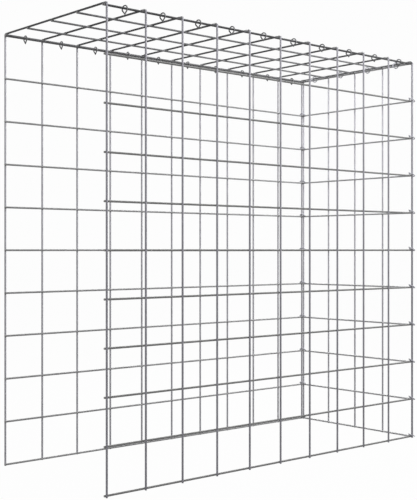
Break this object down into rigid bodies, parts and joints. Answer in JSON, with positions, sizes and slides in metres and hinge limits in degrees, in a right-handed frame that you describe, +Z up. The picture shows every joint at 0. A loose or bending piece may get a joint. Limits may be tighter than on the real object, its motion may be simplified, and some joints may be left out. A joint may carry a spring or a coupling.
{
  "type": "gabion wall bay",
  "caption": "Empty box-shaped basket of welded wire mats, closed by a lid and one end and open at the other end and underneath, tied along its edges with closed C-rings.",
  "frame": {"origin": "on the ground, under the middle of the bay's overall box", "axes": "+X along the wall towards the closed end, +Y from the front face to the back face, +Z up"},
  "size_m": [1.0139, 0.4222, 1.0155],
  "materials": {
    "mesh_wire": "galvanised, dull",
    "ring_wire": "galvanised, bright"
  },
  "bodies": {
    "root": {"front_panel": "mesh_wire", "back_panel": "mesh_wire", "end_panel": "mesh_wire", "lid_panel": "mesh_wire", "front_lid_ring_01": "ring_wire", "front_lid_ring_02": "ring_wire", "front_lid_ring_03": "ring_wire", "front_lid_ring_04": "ring_wire", "front_lid_ring_05": "ring_wire", "front_lid_ring_06": "ring_wire", "front_lid_ring_07": "ring_wire", "front_lid_ring_08": "ring_wire", "front_lid_ring_09": "ring_wire", "front_lid_ring_10": "ring_wire", "back_lid_ring_01": "ring_wire", "back_lid_ring_02": "ring_wire", "back_lid_ring_03": "ring_wire", "back_lid_ring_04": "ring_wire", "back_lid_ring_05": "ring_wire", "back_lid_ring_06": "ring_wire", "back_lid_ring_07": "ring_wire", "back_lid_ring_08": "ring_wire", "back_lid_ring_09": "ring_wire", "back_lid_ring_10": "ring_wire", "end_lid_ring_01": "ring_wire", "end_lid_ring_02": "ring_wire", "end_lid_ring_03": "ring_wire", "end_lid_ring_04": "ring_wire", "front_corner_ring_01": "ring_wire", "front_corner_ring_02": "ring_wire", "front_corner_ring_03": "ring_wire", "front_corner_ring_04": "ring_wire", "front_corner_ring_05": "ring_wire", "front_corner_ring_06": "ring_wire", "front_corner_ring_07": "ring_wire", "front_corner_ring_08": "ring_wire", "front_corner_ring_09": "ring_wire", "front_corner_ring_10": "ring_wire", "back_corner_ring_01": "ring_wire", "back_corner_ring_02": "ring_wire", "back_corner_ring_03": "ring_wire", "back_corner_ring_04": "ring_wire", "back_corner_ring_05": "ring_wire", "back_corner_ring_06": "ring_wire", "back_corner_ring_07": "ring_wire", "back_corner_ring_08": "ring_wire", "back_corner_ring_09": "ring_wire", "back_corner_ring_10": "ring_wire"}
  },
  "joints": []
}
